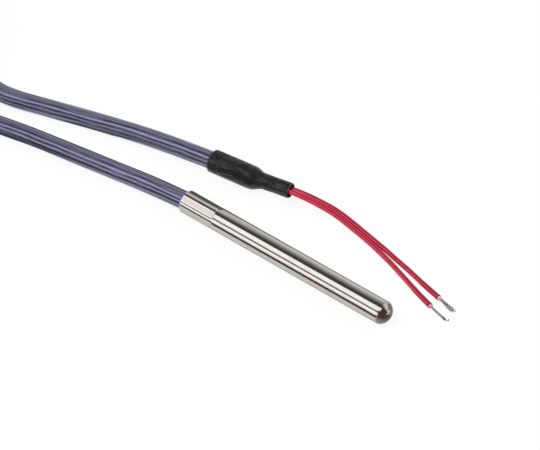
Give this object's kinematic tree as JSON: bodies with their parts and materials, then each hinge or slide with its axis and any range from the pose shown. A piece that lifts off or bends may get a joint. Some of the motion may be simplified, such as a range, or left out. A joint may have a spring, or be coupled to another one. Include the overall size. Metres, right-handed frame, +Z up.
{
  "type": "cable temperature probe",
  "caption": "Slim steel temperature probe with a closed domed tip, crimped on to a grey screened cable that ends in a black sleeve and red bare-ended wires.",
  "frame": {"origin": "bottom centre of the sheath's box, on the surface that the probe lies on, halfway along the sheath", "axes": "+X along the sheath towards its domed tip, +Z up"},
  "size_m": [0.2296, 0.0446, 0.0158],
  "materials": {
    "sheath_steel": "polished, finely drawn",
    "ceramic_chip": "matte",
    "film_glass": "glossy",
    "lead_wire": "bright",
    "white_tube": "smooth",
    "cement": "rough",
    "ferrule_brass": "satin",
    "amber_tube": "glossy",
    "tinned_copper": "satin strands",
    "red_insulation": "satin",
    "dark_resin": "smooth",
    "tie_band": "smooth, flat band",
    "cable_jacket": "translucent, satin",
    "black_sleeve": "satin, slightly uneven"
  },
  "bodies": {
    "root": {"sheath": "sheath_steel", "sensor_chip": "ceramic_chip", "sensor_glaze": "film_glass", "sensor_bead": "ceramic_chip", "sensor_lead_a": "lead_wire", "sensor_lead_b": "lead_wire", "lead_sleeve_a": "white_tube", "lead_sleeve_b": "white_tube", "tip_cement": "cement", "splice_a": "ferrule_brass", "splice_b": "ferrule_brass", "splice_sleeve_a": "amber_tube", "splice_sleeve_b": "amber_tube", "probe_core_a": "tinned_copper", "probe_core_b": "tinned_copper", "probe_wire_a": "red_insulation", "probe_wire_b": "red_insulation", "probe_seal": "dark_resin", "probe_screen_end": "tinned_copper", "cable_run_probe": "cable_jacket", "cable_hank": "cable_jacket", "cable_run_tail": "cable_jacket", "hank_tie_a": "tie_band", "hank_tie_b": "tie_band", "tail_screen_end": "tinned_copper", "tail_sleeve": "black_sleeve", "tail_wire_a": "red_insulation", "tail_wire_b": "red_insulation", "tail_strands_a": "tinned_copper", "tail_strands_b": "tinned_copper"}
  },
  "joints": []
}
